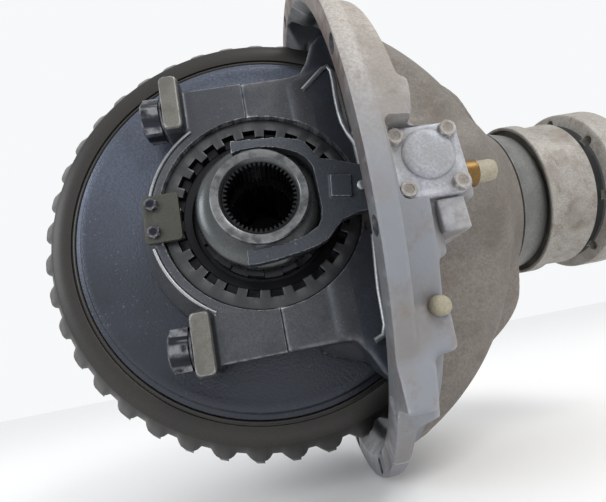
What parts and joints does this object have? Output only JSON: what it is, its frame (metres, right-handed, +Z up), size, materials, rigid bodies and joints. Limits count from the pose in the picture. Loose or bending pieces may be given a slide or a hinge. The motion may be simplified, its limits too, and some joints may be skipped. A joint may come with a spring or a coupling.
{
  "type": "differential gear assembly",
  "caption": "Truck differential head: carrier with spiral crown wheel and pinion, bevel differential in its case, bearing caps, and a sliding dog clutch lock on a shift fork.",
  "frame": {"origin": "centre of the carrier flange's rear face, on the pinion's axis", "axes": "+X forward along the pinion's axis to the companion flange, +Y along the crown wheel's axis away from the differential lock, +Z up"},
  "size_m": [0.6151, 0.518, 0.518],
  "materials": {
    "carrier": "rough weathered casting with brown dirt",
    "cast": "bare grey casting",
    "case": "blue-grey casting, speckled",
    "gear": "dark ground steel",
    "machined": "machined, satin",
    "fork": "smooth grey casting",
    "bolt": "dark oiled steel",
    "brass": "dull brass",
    "rubber": "matt black"
  },
  "bodies": {
    "carrier": {"carrier_housing": "carrier", "bearing_cap_near": "cast", "bearing_cap_far": "cast", "cap_bolt_near_upper": "bolt", "cap_bolt_near_lower": "bolt", "cap_bolt_far_upper": "bolt", "cap_bolt_far_lower": "bolt", "adjuster_near": "machined", "adjuster_far": "machined", "lock_plate_near": "cast", "lock_plate_far": "cast", "lock_screw_near_1": "bolt", "lock_screw_near_2": "bolt", "lock_screw_far_1": "bolt", "lock_screw_far_2": "bolt", "bearing_cup_near": "machined", "bearing_cup_far": "machined", "pinion_cage": "carrier", "pinion_cup_inner": "machined", "pinion_cup_outer": "machined", "pinion_seal": "rubber", "shift_cover": "carrier", "cover_bolt_1": "bolt", "cover_bolt_2": "bolt", "cover_bolt_3": "bolt", "cover_bolt_4": "bolt", "switch_plug": "brass", "return_spring": "machined"},
    "case": {"crown_wheel": "gear", "case_flange_half": "case", "case_plain_half": "case", "cross": "machined", "bearing_cone_near": "machined", "bearing_cone_far": "machined", "case_bolt_1": "bolt", "case_bolt_2": "bolt", "case_bolt_3": "bolt", "case_bolt_4": "bolt", "side_washer_near": "brass", "side_washer_far": "brass"},
    "pinion": {"drive_pinion": "gear", "pinion_cone_inner": "machined", "pinion_cone_outer": "machined", "companion_flange": "carrier", "dust_shield": "carrier", "pinion_nut": "bolt"},
    "side_gear_near_body": {"side_gear_near": "gear"},
    "side_gear_far_body": {"side_gear_far": "gear"},
    "spider_front_body": {"spider_gear_front": "gear"},
    "spider_rear_body": {"spider_gear_rear": "gear"},
    "spider_upper_body": {"spider_gear_upper": "gear"},
    "spider_lower_body": {"spider_gear_lower": "gear"},
    "fork": {"shift_fork": "fork", "shift_rod": "machined", "shift_piston": "machined"},
    "sleeve": {"lock_sleeve": "machined"}
  },
  "joints": [
    {"name": "crown_spin", "type": "hinge", "parent": "carrier", "child": "case", "pos_m": [-0.0645, 0, 0], "axis": [0, 1, 0], "continuous": true},
    {"name": "pinion_spin", "type": "hinge", "parent": "carrier", "child": "pinion", "pos_m": [-0.0645, 0, 0], "axis": [1, 0, 0], "continuous": true},
    {"name": "side_near_spin", "type": "hinge", "parent": "case", "child": "side_gear_near_body", "pos_m": [-0.0645, 0, 0], "axis": [0, 1, 0], "continuous": true},
    {"name": "side_far_spin", "type": "hinge", "parent": "case", "child": "side_gear_far_body", "pos_m": [-0.0645, 0, 0], "axis": [0, 1, 0], "continuous": true},
    {"name": "spider_front_spin", "type": "hinge", "parent": "case", "child": "spider_front_body", "pos_m": [-0.0645, 0, 0], "axis": [1, 0, 0], "continuous": true},
    {"name": "spider_rear_spin", "type": "hinge", "parent": "case", "child": "spider_rear_body", "pos_m": [-0.0645, 0, 0], "axis": [-1, 0, 0], "continuous": true},
    {"name": "spider_upper_spin", "type": "hinge", "parent": "case", "child": "spider_upper_body", "pos_m": [-0.0645, 0, 0], "axis": [0, 0, 1], "continuous": true},
    {"name": "spider_lower_spin", "type": "hinge", "parent": "case", "child": "spider_lower_body", "pos_m": [-0.0645, 0, 0], "axis": [0, 0, -1], "continuous": true},
    {"name": "fork_slide", "type": "slide", "parent": "carrier", "child": "fork", "axis": [0, 1, 0], "range_m": [0, 0.012], "stiffness_N_per_m": 4000, "springref_m": -0.01, "deforming": ["return_spring"]},
    {"name": "sleeve_slide", "type": "slide", "parent": "side_gear_near_body", "child": "sleeve", "axis": [0, 1, 0], "range_m": [0, 0.012]}
  ],
  "couplings": [
    {"joint": "pinion_spin", "follows": "crown_spin", "ratio": 5.125},
    {"joint": "side_far_spin", "follows": "side_near_spin", "ratio": -1},
    {"joint": "spider_front_spin", "follows": "side_near_spin", "ratio": 2},
    {"joint": "spider_rear_spin", "follows": "side_near_spin", "ratio": 2},
    {"joint": "spider_upper_spin", "follows": "side_near_spin", "ratio": 2},
    {"joint": "spider_lower_spin", "follows": "side_near_spin", "ratio": 2},
    {"joint": "sleeve_slide", "follows": "fork_slide", "ratio": 1}
  ]
}
